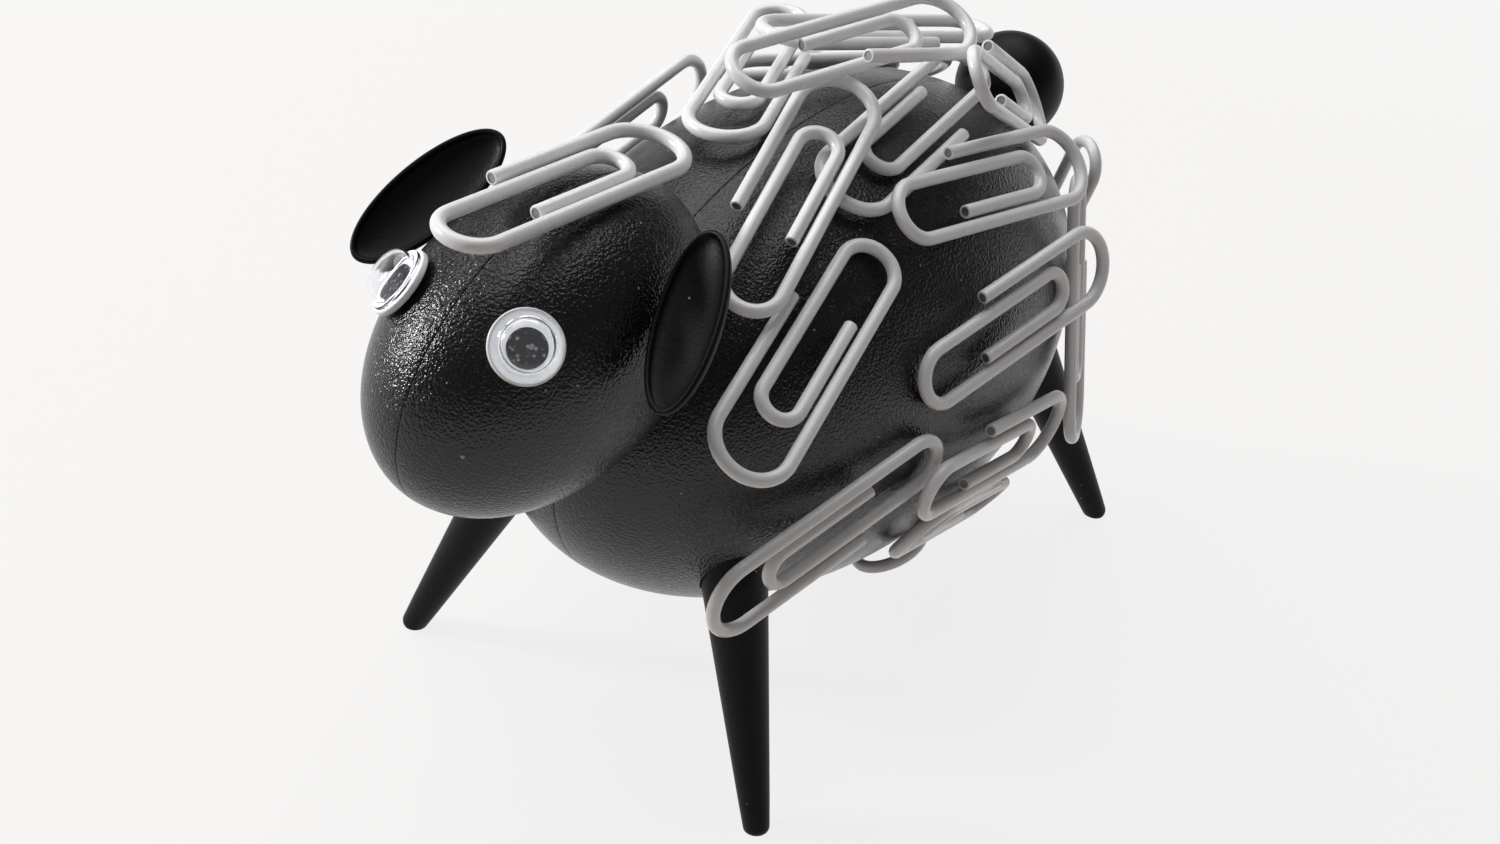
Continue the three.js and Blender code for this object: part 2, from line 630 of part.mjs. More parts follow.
for (const { name, side } of SIDES) {
  holder.add(piece(`body_shell_${name}`, geometryOf(bodyHalf(side)), blackPlastic));
  holder.add(piece(`head_shell_${name}`, geometryOf(headHalf(side)), blackPlastic));
  holder.add(piece(`ear_${name}`, geometryOf(ear(side)), blackPlastic));
  for (const hip of HIPS) {
    holder.add(piece(`leg_${hip.name}_${name}`, geometryOf(leg(hip, side)), blackPlastic));
  }
  for (const place of BODY_MAGNETS) {
    const spot = surfacePoint(body, place.along, place.around, side);
    holder.add(magnet(`magnet_${place.name}_${name}`, spot));
  }
  holder.add(eye(name, side));
}
holder.add(magnet('magnet_head', surfacePoint(head, HEAD_MAGNET.along, HEAD_MAGNET.around)));
holder.add(piece('neck_pin', geometryOf(neckPin()), blackPlastic));
holder.add(piece('tail', geometryOf(tailBall()), blackPlastic));

const laid = [];
CLIPS.forEach((place, i) => {
  holder.add(layClip(`clip_${String(i + 1).padStart(2, '0')}`, place, laid));
});

// The origin goes to the middle of the footprint, on the ground
const extent = new THREE.Box3().setFromObject(holder, true);
holder.position.set(-(extent.min.x + extent.max.x) / 2, -(extent.min.y + extent.max.y) / 2, -extent.min.z);

export default holder;
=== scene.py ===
# The looks of a sheep-shaped holder for paper clips: a grained black shell with wobbly eyes
# and coated wire clips as its wool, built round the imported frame.
# Shapes are worked out in millimetres in the frame's directions: +Z up, head towards -Y.

import math

import bmesh
import bpy
import numpy as np
from mathutils import Euler, Matrix, Vector


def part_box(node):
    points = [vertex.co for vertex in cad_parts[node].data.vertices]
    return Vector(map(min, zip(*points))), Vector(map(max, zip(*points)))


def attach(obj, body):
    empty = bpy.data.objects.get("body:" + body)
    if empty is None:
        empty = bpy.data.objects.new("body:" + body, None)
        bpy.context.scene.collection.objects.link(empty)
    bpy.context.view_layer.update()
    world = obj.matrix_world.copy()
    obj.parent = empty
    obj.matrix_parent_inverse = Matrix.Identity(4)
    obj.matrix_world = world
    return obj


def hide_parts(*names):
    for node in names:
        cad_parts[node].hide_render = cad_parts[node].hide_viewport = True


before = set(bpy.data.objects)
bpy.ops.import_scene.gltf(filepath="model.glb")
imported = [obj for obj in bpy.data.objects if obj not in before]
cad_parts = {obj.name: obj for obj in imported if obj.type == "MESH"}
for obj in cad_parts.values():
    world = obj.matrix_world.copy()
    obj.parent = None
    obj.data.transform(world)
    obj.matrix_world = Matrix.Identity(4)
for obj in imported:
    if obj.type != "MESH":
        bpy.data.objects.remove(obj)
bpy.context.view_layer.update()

MM = 0.001
SIDES = (("left", 1), ("right", -1))

# Sizes of the real pieces, in millimetres and degrees. Each FIT is a gap between two pieces.
FIT = 0.3
BODY_HALF = np.array([22.7, 37.0, 23.5])
HEAD_HALF = np.array([11.6, 17.2, 12.0])
HEAD_NOD = 19.5
WALL = 2.0
NECK_ANGLE = 27.4
NECK_REACH = 9.15
TAIL_ANGLE = 26.2
TAIL_RADIUS = 5.8
TAIL_BEDDING = 1.0
TAIL_FIT = 0.1
NECK_HOLE_RADIUS = 2.7
TAIL_HOLE_RADIUS = 2.3
HOLE_REACH = 4.0
SEAM_GAP = 0.02
SEAM_ROUND = 0.07

HIPS = {
    "front": {"along": -45.7, "around": 125.6, "out": 8.55, "back": -4.6},
    "rear": {"along": 49.5, "around": 128.4, "out": 9.95, "back": 6.65},
}
LEG_TOP_RADIUS = 3.05
LEG_TIP_RADIUS = 1.25
LEG_TIP_ROUND = 0.9
LEG_TIP_DROP = 0.6
LEG_SEAT_DEPTH = 5.0
LEG_FIT = 0.12
LEG_HOLE_START = -9.0
LEG_HOLE_END = 6.0

EAR_LENGTH = 15.9
EAR_WIDTH = 6.5
EAR_DEPTH = 2.0
EAR_RIM = 0.5
EAR_WALL = 1.0
EAR_REACH = 1.8
EAR_BACK = 3.4
EAR_UP = 6.65
EAR_LONG_AXIS = (0.33, -0.75, -0.57)
EAR_FACE_AXIS = (-0.22, -0.65, 0.73)
EAR_STEM_RADIUS = 1.0
EAR_STEM_REACH = 6.0
EAR_STEM_FIT = 0.05
EAR_FIT = 0.12

EYE_ALONG = -22.8
EYE_AROUND = 35.3
EYE_RADIUS = 3.0
EYE_BACKING = 0.5
EYE_EDGE = 0.16
EYE_RIM_RISE = 0.1
EYE_DISH = 0.02
EYE_FIT = 0.1
EYE_SEAT = EYE_FIT + EYE_BACKING
DOME_FOOT = EYE_SEAT + EYE_FIT
DOME_FLANGE_RADIUS = 2.75
DOME_FLANGE = 0.28
DOME_FLANGE_EDGE = 0.08
DOME_RADIUS = 2.26
DOME_CORNER = 0.05
DOME_HEIGHT = 1.9
DOME_WALL = 0.25
DOME_SHOULDER = 0.5
DOME_SQUARENESS = 0.6
PUPIL_RADIUS = 1.65
PUPIL_THICKNESS = 0.3
PUPIL_EDGE = 0.06
PUPIL_LIFT = 0.01
PUPIL_OFFSET = 0.2

WIRE = 1.25
WIRE_CORE = 0.84
WIRE_EDGE = 0.08
WIRE_CORE_DEPTH = 0.07
CLIP_LENGTH = 28.0
CLIP_WIDTH = 8.35
CLIP_TOP_LOOP = 6.45
CLIP_INNER_LOOP = 4.95
CLIP_INNER_START = 6.4
CLIP_OUTER_END = 17.5
CLIP_INNER_END = 18.5
CLIP_LIFT = 17.0
CLIP_KINK = 1.6

# How many steps the round forms have. The shells' are around, outside and inside.
BODY_STEPS = (160, 56, 24)
HEAD_STEPS = (128, 44, 20)
BODY_CUTTER_STEPS = (160, 96)
HEAD_CUTTER_STEPS = (128, 80)
ROD_STEPS = 48
TAIL_STEPS = 72
EAR_STEPS = 96
EYE_STEPS = 72
PUPIL_STEPS = 64
WIRE_STEPS = 20

# The steps of the wire's wide, top and inner loops, in the frame's solids and here
FRAME_LOOPS = (6, 6, 5)
FINE_LOOPS = (28, 24, 20)

# Where the frame lies: the middle plane, and the middle of the body
seam_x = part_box("body_shell_right")[1].x / MM
body_low, body_high = (np.array(corner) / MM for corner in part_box("body_shell_left"))
body_middle = (body_low + body_high) / 2
body_centre = np.array([seam_x, body_middle[1], body_middle[2]])


def unit(v):
    v = np.asarray(v, float)
    return v / np.linalg.norm(v)


def round_angles(count, offset=0.0):
    """Angles all the way round, in radians."""
    return [2 * math.pi * (i + offset) / count for i in range(count)]


def turn_about_x(degrees):
    c, s = math.cos(math.radians(degrees)), math.sin(math.radians(degrees))
    return np.array([[1, 0, 0], [0, c, -s], [0, s, c]])


class Egg:
    """An egg form: half sizes, centre and turn."""

    def __init__(self, half, centre, turn=np.eye(3)):
        self.half, self.centre, self.turn = half, centre, turn

    def at(self, local):
        normal = unit(local / self.half**2)
        return self.turn @ local + self.centre, self.turn @ normal

    def surface(self, along, around, side=1):
        """A point and its normal, from angles along from the middle and round from the top."""
        a, b = math.radians(along), math.radians(around)
        local = np.array([side * math.cos(a) * math.sin(b), math.sin(a), math.cos(a) * math.cos(b)])
        return self.at(local * self.half)

    def middle_plane(self, angle, towards):
        """A point and its normal on the middle plane, by the angle from the front or rear end."""
        a = math.radians(angle)
        return self.at(np.array([0, towards * math.cos(a), math.sin(a)]) * self.half)


body = Egg(BODY_HALF, body_centre)
neck_point, neck_normal = body.middle_plane(NECK_ANGLE, -1)
head = Egg(HEAD_HALF, neck_point + NECK_REACH * neck_normal, turn_about_x(HEAD_NOD))
tail_root, tail_normal = body.middle_plane(TAIL_ANGLE, 1)
tail_centre = tail_root + (TAIL_RADIUS - TAIL_BEDDING) * tail_normal


def add_mesh(name, points, faces, materials, smooth=True):
    """A new piece from points in millimetres."""
    mesh = bpy.data.meshes.new(name)
    mesh.from_pydata([Vector(p) * MM for p in np.asarray(points, float)], [], faces)
    mesh.validate()
    for material in materials:
        mesh.materials.append(material)
    work = bmesh.new()
    work.from_mesh(mesh)
    bmesh.ops.recalc_face_normals(work, faces=work.faces)
    for face in work.faces:
        face.smooth = smooth
    work.to_mesh(mesh)
    work.free()
    piece = bpy.data.objects.new(name, mesh)
    bpy.context.scene.collection.objects.link(piece)
    return piece


def loft(rings, closed_start=True, closed_end=True):
    """Points and faces through rings of the same count; a ring of one point closes an end."""
    points, starts, faces = [], [], []
    for ring in rings:
        starts.append(len(points))
        points.extend(ring)
    for (a, ring_a), (b, ring_b) in zip(zip(starts, rings), zip(starts[1:], rings[1:])):
        count = max(len(ring_a), len(ring_b))
        for i in range(count):
            j = (i + 1) % count
            if len(ring_a) == 1:
                faces.append((a, b + i, b + j))
            elif len(ring_b) == 1:
                faces.append((a + i, b, a + j))
            else:
                faces.append((a + i, b + i, b + j, a + j))
    if closed_start and len(rings[0]) > 1:
        faces.append(tuple(range(starts[0], starts[0] + len(rings[0]))))
    if closed_end and len(rings[-1]) > 1:
        faces.append(tuple(range(starts[-1], starts[-1] + len(rings[-1]))))
    return points, faces


def lathe(profile, origin, axis, steps):
    """Rings of a turned form: profile is (radius, height) along the axis from the origin."""
    axis = unit(axis)
    across = unit(np.cross(axis, [0.3, 0.9, 0.2]))
    other = np.cross(axis, across)
    ways = [math.cos(t) * across + math.sin(t) * other for t in round_angles(steps)]
    rings = []
    for radius, height in profile:
        centre = np.asarray(origin) + axis * height
        if radius == 0:
            rings.append([centre])
        else:
            rings.append([centre + radius * way for way in ways])
    return rings


def arc(centre, radius, start, end, steps):
    """Points (radius, height) of a round stretch of a profile, angles in degrees."""
    angles = np.radians(np.linspace(start, end, steps + 1))
    return [(centre[0] + radius * math.cos(a), centre[1] + radius * math.sin(a)) for a in angles]


def cut(piece, cutters, operation="DIFFERENCE"):
    """Takes the cutters away from the piece, or joins them to it, and removes them."""
    for cutter in cutters:
        step = piece.modifiers.new("cut", "BOOLEAN")
        step.object = cutter
        step.operation = operation
        step.solver = "EXACT"
        bpy.context.view_layer.update()
        graph = bpy.context.evaluated_depsgraph_get()
        mesh = bpy.data.meshes.new_from_object(piece.evaluated_get(graph))
        piece.modifiers.remove(step)
        piece.data = mesh
        bpy.data.objects.remove(cutter)
    for face in piece.data.polygons:
        face.use_smooth = True
    return piece


def soften(piece, angle=40):
    """Smooth shading that stays crisp at edges sharper than an angle."""
    piece.data.set_sharp_from_angle(angle=math.radians(angle))
    return piece


def settle(piece, node_body, node):
    """Hangs the piece on the body that carries it and hides the node of the frame that it stands for.
    """
    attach(piece, node_body)
    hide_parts(node)


# Materials

def new_material(name):
    """A material with its nodes, its links and its main shader."""
    material = bpy.data.materials.new(name)
    material.use_nodes = True
    tree = material.node_tree
    return material, tree.nodes, tree.links, tree.nodes["Principled BSDF"]


def place(nodes):
    """The place on the object, in metres."""
    return nodes.new("ShaderNodeTexCoord").outputs["Object"]


def noise(nodes, links, where, scale, detail=2.0, roughness=0.5):
    """Soft noise with about as many grains to the metre as its scale."""
    node = nodes.new("ShaderNodeTexNoise")
    node.inputs["Scale"].default_value = scale
    node.inputs["Detail"].default_value = detail
    node.inputs["Roughness"].default_value = roughness
    links.new(where, node.inputs["Vector"])
    return node.outputs["Fac"]


def ramp(nodes, links, value, low, high, start=0.0, end=1.0):
    """Maps a value from one range to another, held at its ends."""
    node = nodes.new("ShaderNodeMapRange")
    node.inputs["From Min"].default_value = low
    node.inputs["From Max"].default_value = high
    node.inputs["To Min"].default_value = start
    node.inputs["To Max"].default_value = end
    links.new(value, node.inputs["Value"])
    return node.outputs["Result"]


def combine(nodes, links, operation, a, b):
    """Two values worked into one, each given as a number or a socket."""
    node = nodes.new("ShaderNodeMath")
    node.operation = operation
    for socket, value in zip(node.inputs, (a, b)):
        if isinstance(value, (int, float)):
            socket.default_value = value
        else:
            links.new(value, socket)
    return node.outputs["Value"]


def mix(nodes, links, factor, dark, light):
    """A colour between two, each given as a colour or a socket."""
    node = nodes.new("ShaderNodeMix")
    node.data_type = "RGBA"
    links.new(factor, node.inputs["Factor"])
    for name, value in (("A", dark), ("B", light)):
        socket = next(s for s in node.inputs if s.name == name and s.type == "RGBA")
        if isinstance(value, tuple):
            socket.default_value = (*value, 1)
        else:
            links.new(value, socket)
    return next(s for s in node.outputs if s.type == "RGBA")


def bump(nodes, links, height, distance, strength=1.0, under=None):
    """Relief with a depth in metres, over the relief that lies under it."""
    node = nodes.new("ShaderNodeBump")
    node.inputs["Strength"].default_value = strength
    node.inputs["Distance"].default_value = distance
    links.new(height, node.inputs["Height"])
    if under is not None:
        links.new(under, node.inputs["Normal"])
    return node.outputs["Normal"]


def specks(nodes, links, where, scale, size, share):
    """Sparse round specks, 1 inside and 0 outside, in a share of the cells."""
    cells = nodes.new("ShaderNodeTexVoronoi")
    cells.inputs["Scale"].default_value = scale
    links.new(where, cells.inputs["Vector"])
    pick = nodes.new("ShaderNodeTexWhiteNoise")
    links.new(cells.outputs["Position"], pick.inputs["Vector"])
    chosen = combine(nodes, links, "LESS_THAN", pick.outputs["Value"], share)
    inside = ramp(nodes, links, cells.outputs["Distance"], size, size * 0.5)
    return combine(nodes, links, "MULTIPLY", chosen, inside)


def moulded_black(name, grain, roughness, shine):
    """Black plastic with a spark-eroded grain, faint wear and a little dust."""
    material, nodes, links, shader = new_material(name)
    where = place(nodes)
    fine = noise(nodes, links, where, 3900, 1.0, 0.5)
    pits = ramp(nodes, links, fine, 0.32, 0.68)
    cloud = noise(nodes, links, where, 60, 3.0, 0.6)
    dots = specks(nodes, links, where, 620, 0.08, 0.35)
    lint = specks(nodes, links, where, 230, 0.05, 0.35)
    dusty = combine(nodes, links, "MAXIMUM", dots, lint)
    shade = mix(nodes, links, cloud, (0.0025, 0.0025, 0.003), (0.005, 0.005, 0.006))
    links.new(mix(nodes, links, dusty, shade, (0.32, 0.32, 0.33)), shader.inputs["Base Color"])
    gloss = ramp(nodes, links, cloud, 0.3, 0.7, roughness, roughness + 0.08)
    links.new(gloss, shader.inputs["Roughness"])
    shader.inputs["Specular IOR Level"].default_value = shine
    normal = bump(nodes, links, pits, grain)
    links.new(bump(nodes, links, dusty, 0.00002, 0.5, normal), shader.inputs["Normal"])
    return material


def vinyl():
    """Glossy white coating with a slight orange peel and handling marks."""
    material, nodes, links, shader = new_material("clip_vinyl")
    where = place(nodes)
    cloud = noise(nodes, links, where, 90, 4.0, 0.6)
    smudge = ramp(nodes, links, cloud, 0.55, 0.75)
    marks = specks(nodes, links, where, 420, 0.09, 0.03)
    tint = mix(nodes, links, smudge, (0.80, 0.80, 0.81), (0.72, 0.715, 0.71))
    links.new(mix(nodes, links, marks, tint, (0.34, 0.33, 0.32)), shader.inputs["Base Color"])
    links.new(ramp(nodes, links, cloud, 0.3, 0.75, 0.24, 0.36), shader.inputs["Roughness"])
    shader.inputs["Coat Weight"].default_value = 0.25
    shader.inputs["Coat Roughness"].default_value = 0.12
    peel = noise(nodes, links, where, 900, 2.0)
    links.new(bump(nodes, links, peel, 0.00002, 0.5), shader.inputs["Normal"])
    return material


def wire_core():
    """The cut steel end of the wire, with shear marks."""
    material, nodes, links, shader = new_material("wire_core")
    where = place(nodes)
    grain = noise(nodes, links, where, 5200, 3.0)
    shade = mix(nodes, links, grain, (0.18, 0.17, 0.16), (0.42, 0.41, 0.40))
    links.new(shade, shader.inputs["Base Color"])
    links.new(ramp(nodes, links, grain, 0.3, 0.7, 0.35, 0.6), shader.inputs["Roughness"])
    shader.inputs["Metallic"].default_value = 0.9
    links.new(bump(nodes, links, grain, 0.00002), shader.inputs["Normal"])
    return material


def white_plastic():
    """The smooth white plastic of an eye's backing disc."""
    material, nodes, links, shader = new_material("eye_white")
    where = place(nodes)
    cloud = noise(nodes, links, where, 700, 3.0)
    shade = mix(nodes, links, cloud, (0.80, 0.81, 0.83), (0.88, 0.88, 0.89))
    links.new(shade, shader.inputs["Base Color"])
    links.new(ramp(nodes, links, cloud, 0.3, 0.7, 0.26, 0.36), shader.inputs["Roughness"])
    links.new(bump(nodes, links, cloud, 0.00001, 0.4), shader.inputs["Normal"])
    return material


def clear_plastic():
    """The clear dome: faintly hazed plastic that lets the lamps through to the disc behind it."""
    material, nodes, links, shader = new_material("eye_clear")
    where = place(nodes)
    haze = noise(nodes, links, where, 1300, 2.0)
    shader.inputs["Base Color"].default_value = (0.97, 0.98, 1.0, 1)
    shader.inputs["Transmission Weight"].default_value = 1.0
    shader.inputs["IOR"].default_value = 1.46
    links.new(ramp(nodes, links, haze, 0.4, 0.75, 0.01, 0.06), shader.inputs["Roughness"])
    links.new(bump(nodes, links, haze, 0.000004, 0.4), shader.inputs["Normal"])
    open_to_lamps = nodes.new("ShaderNodeMixShader")
    lamp_ray = nodes.new("ShaderNodeLightPath").outputs["Is Shadow Ray"]
    links.new(lamp_ray, open_to_lamps.inputs["Fac"])
    links.new(shader.outputs["BSDF"], open_to_lamps.inputs[1])
    links.new(nodes.new("ShaderNodeBsdfTransparent").outputs["BSDF"], open_to_lamps.inputs[2])
    links.new(open_to_lamps.outputs["Shader"], nodes["Material Output"].inputs["Surface"])
    return material


def pupil_black():
    """The loose disc: flat black with pale dust from inside the eye."""
    material, nodes, links, shader = new_material("eye_pupil")
    where = place(nodes)
    patch = noise(nodes, links, where, 1500, 5.0, 0.7)
    dust = ramp(nodes, links, patch, 0.5, 0.75, 0.0, 0.35)
    dots = specks(nodes, links, where, 2600, 0.5, 0.5)
    shade = mix(nodes, links, dust, (0.003, 0.003, 0.0035), (0.035, 0.03, 0.038))
    links.new(mix(nodes, links, dots, shade, (0.16, 0.145, 0.17)), shader.inputs["Base Color"])
    links.new(ramp(nodes, links, patch, 0.3, 0.7, 0.45, 0.7), shader.inputs["Roughness"])
    shader.inputs["Specular IOR Level"].default_value = 0.05
    return material


def ferrite():
    """Dark pressed magnet with small chips."""
    material, nodes, links, shader = new_material("magnet")
    where = place(nodes)
    grain = noise(nodes, links, where, 2600, 4.0, 0.6)
    chips = specks(nodes, links, where, 900, 0.12, 0.1)
    shade = mix(nodes, links, grain, (0.03, 0.03, 0.032), (0.075, 0.075, 0.08))
    links.new(mix(nodes, links, chips, shade, (0.14, 0.14, 0.145)), shader.inputs["Base Color"])
    links.new(ramp(nodes, links, grain, 0.3, 0.7, 0.5, 0.75), shader.inputs["Roughness"])
    links.new(bump(nodes, links, grain, 0.00004), shader.inputs["Normal"])
    return material


SHELL = moulded_black("shell_black", grain=0.000042, roughness=0.18, shine=0.45)
LIMB = moulded_black("limb_black", grain=0.00001, roughness=0.4, shine=0.12)
VINYL = vinyl()
CORE = wire_core()
EYE_WHITE = white_plastic()
EYE_CLEAR = clear_plastic()
EYE_PUPIL = pupil_black()
FERRITE = ferrite()


# Shells

def half_shell_rings(egg, side, around, outer_steps, inner_steps):
    """Rings from the flank over the rounded seam edge and back inside to the flank."""

    def ring(x, inset):
        rows = []
        share = math.sqrt(max(1 - (x / egg.half[0]) ** 2, 0))
        for t in round_angles(around):
            flat = np.array([0, math.cos(t), math.sin(t)]) * egg.half
            inwards = unit(flat / egg.half**2)
            local = flat * share - inset * inwards
            local[0] = side * x
            rows.append(egg.turn @ local + egg.centre)
        return rows

    half = egg.half[0]
    edge = SEAM_GAP + SEAM_ROUND
    last = math.acos(edge / half)
    rings = [[egg.turn @ np.array([side * half, 0, 0]) + egg.centre]]
    for k in range(1, outer_steps + 1):
        rings.append(ring(half * math.cos(last * k / outer_steps), 0))
    for angle in np.radians(np.linspace(0, 90, 5))[1:]:
        rings.append(ring(edge - SEAM_ROUND * math.sin(angle), SEAM_ROUND * (1 - math.cos(angle))))
    for third in (1, 2, 3):
        rings.append(ring(SEAM_GAP, WALL * third / 3))
    inner = Egg(egg.half - WALL, egg.centre, egg.turn)
    for k in range(1, inner_steps):
        a = math.pi / 2 * k / inner_steps
        rows = []
        for t in round_angles(around):
            local = np.array([side * math.sin(a), math.cos(a) * math.cos(t), math.cos(a) * math.sin(t)])
            rows.append(inner.turn @ (local * inner.half) + inner.centre)
        rings.append(rows)
    rings.append([inner.turn @ np.array([side * inner.half[0], 0, 0]) + inner.centre])
    return rings


def egg_cutter(egg, offset, around, steps):
    """A whole egg as a cutter, grown by an offset."""
    half = egg.half + offset
    rings = []
    for k in range(steps + 1):
        a = math.pi * k / steps
        if k in (0, steps):
            rings.append([egg.turn @ (np.array([0, math.cos(a), 0]) * half) + egg.centre])
            continue
        rows = []
        for t in round_angles(around, 0.5):
            local = np.array([math.sin(a) * math.cos(t), math.cos(a), math.sin(a) * math.sin(t)])
            rows.append(egg.turn @ (local * half) + egg.centre)
        rings.append(rows)
    return add_mesh("seat", *loft(rings), [])


def drill(point, axis, radius, start, end):
    """A round cutter along an axis."""
    profile = [(0, start), (radius, start), (radius, end), (0, end)]
    return add_mesh("drill", *loft(lathe(profile, point, axis, ROD_STEPS)), [])


def leg_line(hip, side):
    """A leg's foot on the table, its direction up and its length to the body's surface."""
    top = body.surface(hip["along"], hip["around"], side)[0]
    foot = np.array([top[0] + side * hip["out"], top[1] + hip["back"], 0.0])
    return foot, unit(top - foot), float(np.linalg.norm(top - foot))


def body_half(name, side):
    """Half of the body's shell, with the holes for its legs, neck and tail."""
    rings = half_shell_rings(body, side, *BODY_STEPS)
    shell = add_mesh(f"body_half_{name}", *loft(rings), [SHELL])
    drills = []
    for hip in HIPS.values():
        foot, up, length = leg_line(hip, side)
        start, end = length + LEG_HOLE_START, length + LEG_HOLE_END
        drills.append(drill(foot, up, LEG_TOP_RADIUS + LEG_FIT, start, end))
    drills.append(drill(neck_point, neck_normal, NECK_HOLE_RADIUS, -HOLE_REACH, HOLE_REACH))
    drills.append(drill(tail_root, tail_normal, TAIL_HOLE_RADIUS, -HOLE_REACH, HOLE_REACH))
    soften(cut(shell, drills))
    settle(shell, "holder", f"body_shell_{name}")


def head_half(name, side):
    """Half of the head's shell, hollowed where it sits on the body, with an ear's hole."""
    rings = half_shell_rings(head, side, *HEAD_STEPS)
    shell = add_mesh(f"head_half_{name}", *loft(rings), [SHELL])
    root, inwards = ear_lines(side)[3:]
    stem_hole = drill(root, inwards, EAR_STEM_RADIUS + EAR_STEM_FIT, -WALL, EAR_STEM_REACH + FIT)
    soften(cut(shell, [egg_cutter(body, FIT, *BODY_CUTTER_STEPS), stem_hole]))
    settle(shell, "holder", f"head_shell_{name}")


def tail_ball():
    """The ball, bedded a little into the rump."""
    profile = [(0, -TAIL_RADIUS)] + arc((0, 0), TAIL_RADIUS, -86, 86, 44) + [(0, TAIL_RADIUS)]
    rings = lathe(profile, tail_centre, tail_normal, TAIL_STEPS)
    ball = add_mesh("tail_ball", *loft(rings), [LIMB])
    soften(cut(ball, [egg_cutter(body, TAIL_FIT, *BODY_CUTTER_STEPS)]))
    settle(ball, "holder", "tail")


def leg(place_name, hip, name, side):
    """A tapered peg with a rounded tip, cut flat where it stands."""
    foot, up, length = leg_line(hip, side)
    tip = LEG_TIP_RADIUS
    slope = (LEG_TOP_RADIUS - tip) / length
    round_middle = (tip - LEG_TIP_ROUND, LEG_TIP_ROUND - LEG_TIP_DROP)
    profile = [(0, -2 * LEG_TIP_DROP)] + arc(round_middle, LEG_TIP_ROUND, -85, 0, 8)
    for height in np.linspace(LEG_TIP_ROUND, length, 13)[1:]:
        profile.append((tip + slope * height, height))
    profile += [(LEG_TOP_RADIUS, length + LEG_SEAT_DEPTH), (0, length + LEG_SEAT_DEPTH)]
    rings = lathe(profile, foot, up, ROD_STEPS)
    peg = add_mesh(f"peg_leg_{place_name}_{name}", *loft(rings), [LIMB])
    work = bmesh.new()
    work.from_mesh(peg.data)
    everything = work.verts[:] + work.edges[:] + work.faces[:]
    flat = bmesh.ops.bisect_plane(
        work, geom=everything, plane_co=(0, 0, 0), plane_no=(0, 0, -1), clear_outer=True,
    )
    rim = [e for e in flat["geom_cut"] if isinstance(e, bmesh.types.BMEdge)]
    bmesh.ops.contextual_create(work, geom=rim)
    work.to_mesh(peg.data)
    work.free()
    soften(peg)
    settle(peg, "holder", f"leg_{place_name}_{name}")


def ear_lines(side):
    """An ear's middle and directions, and the line of its stem into the head."""
    middle = head.turn @ np.array([side * (HEAD_HALF[0] + EAR_REACH), EAR_BACK, EAR_UP]) + head.centre
    long = unit(np.array(EAR_LONG_AXIS) * (side, 1, 1))
    face = np.array(EAR_FACE_AXIS) * (side, 1, 1)
    face = unit(face - face @ long * long)
    root = middle + (EAR_WALL / 2 - EAR_DEPTH) * face
    inwards = unit(head.turn @ np.array([0, EAR_BACK, 0]) + head.centre - root)
    return middle, long, face, root, inwards


def ear(name, side):
    """An oval dish with a rounded rim, cut where it meets the head, on its stem."""
    middle, long, face, root, inwards = ear_lines(side)
    across = np.cross(long, face)
    rim = EAR_RIM / 2
    outer = (EAR_WIDTH / 2, EAR_LENGTH / 2, EAR_DEPTH - rim)
    inner = (EAR_WIDTH / 2 - EAR_RIM, EAR_LENGTH / 2 - EAR_RIM, EAR_DEPTH - EAR_WALL - rim)
    centre = (EAR_WIDTH / 2 - rim, EAR_LENGTH / 2 - rim)

    def ring(width, length, height):
        return [
            middle + width * math.cos(t) * across + length * math.sin(t) * long + height * face
            for t in round_angles(EAR_STEPS)
        ]

    rings = [[middle - EAR_DEPTH * face]]
    for a in np.radians(np.linspace(90, 0, 15))[1:]:
        c, s = math.cos(a), math.sin(a)
        rings.append(ring(outer[0] * c, outer[1] * c, -rim - outer[2] * s))
    for a in np.radians(np.linspace(0, 180, 9))[1:]:
        out = rim * math.cos(a)
        rings.append(ring(centre[0] + out, centre[1] + out, rim * math.sin(a) - rim))
    for a in np.radians(np.linspace(0, 90, 13))[1:-1]:
        c, s = math.cos(a), math.sin(a)
        rings.append(ring(inner[0] * c, inner[1] * c, -rim - inner[2] * s))
    rings.append([middle - (rim + inner[2]) * face])
    leaf = add_mesh(f"ear_leaf_{name}", *loft(rings), [LIMB])
    cut(leaf, [egg_cutter(head, EAR_FIT, *HEAD_CUTTER_STEPS)])
    radius = EAR_STEM_RADIUS
    start = (radius - EAR_WALL / 2) / -(inwards @ face)
    profile = [(0, start - radius)] + arc((0, start), radius, -90, 0, 8)[1:]
    profile += [(radius, EAR_STEM_REACH), (0, EAR_STEM_REACH)]
    cut(leaf, [add_mesh("stem", *loft(lathe(profile, root, inwards, ROD_STEPS)), [])], "UNION")
    soften(leaf)
    settle(leaf, "holder", f"ear_{name}")


# Eyes

def eye_disc(name, spot, normal):
    """The white backing disc, with a raised round rim."""
    edge = EYE_EDGE
    inner = EYE_RADIUS - edge
    profile = [(0, EYE_FIT), (inner, EYE_FIT)]
    profile += arc((inner, EYE_FIT + edge), edge, -90, 0, 5)[1:]
    profile += arc((inner, EYE_SEAT + EYE_RIM_RISE - edge), edge, 0, 180, 8)
    profile += [(inner - edge, EYE_SEAT - EYE_DISH), (0, EYE_SEAT - EYE_DISH)]
    rings = lathe(profile, spot, normal, EYE_STEPS)
    disc = add_mesh(f"eye_disc_{name}", *loft(rings), [EYE_WHITE])
    settle(soften(disc), "holder", f"eye_backing_{name}")


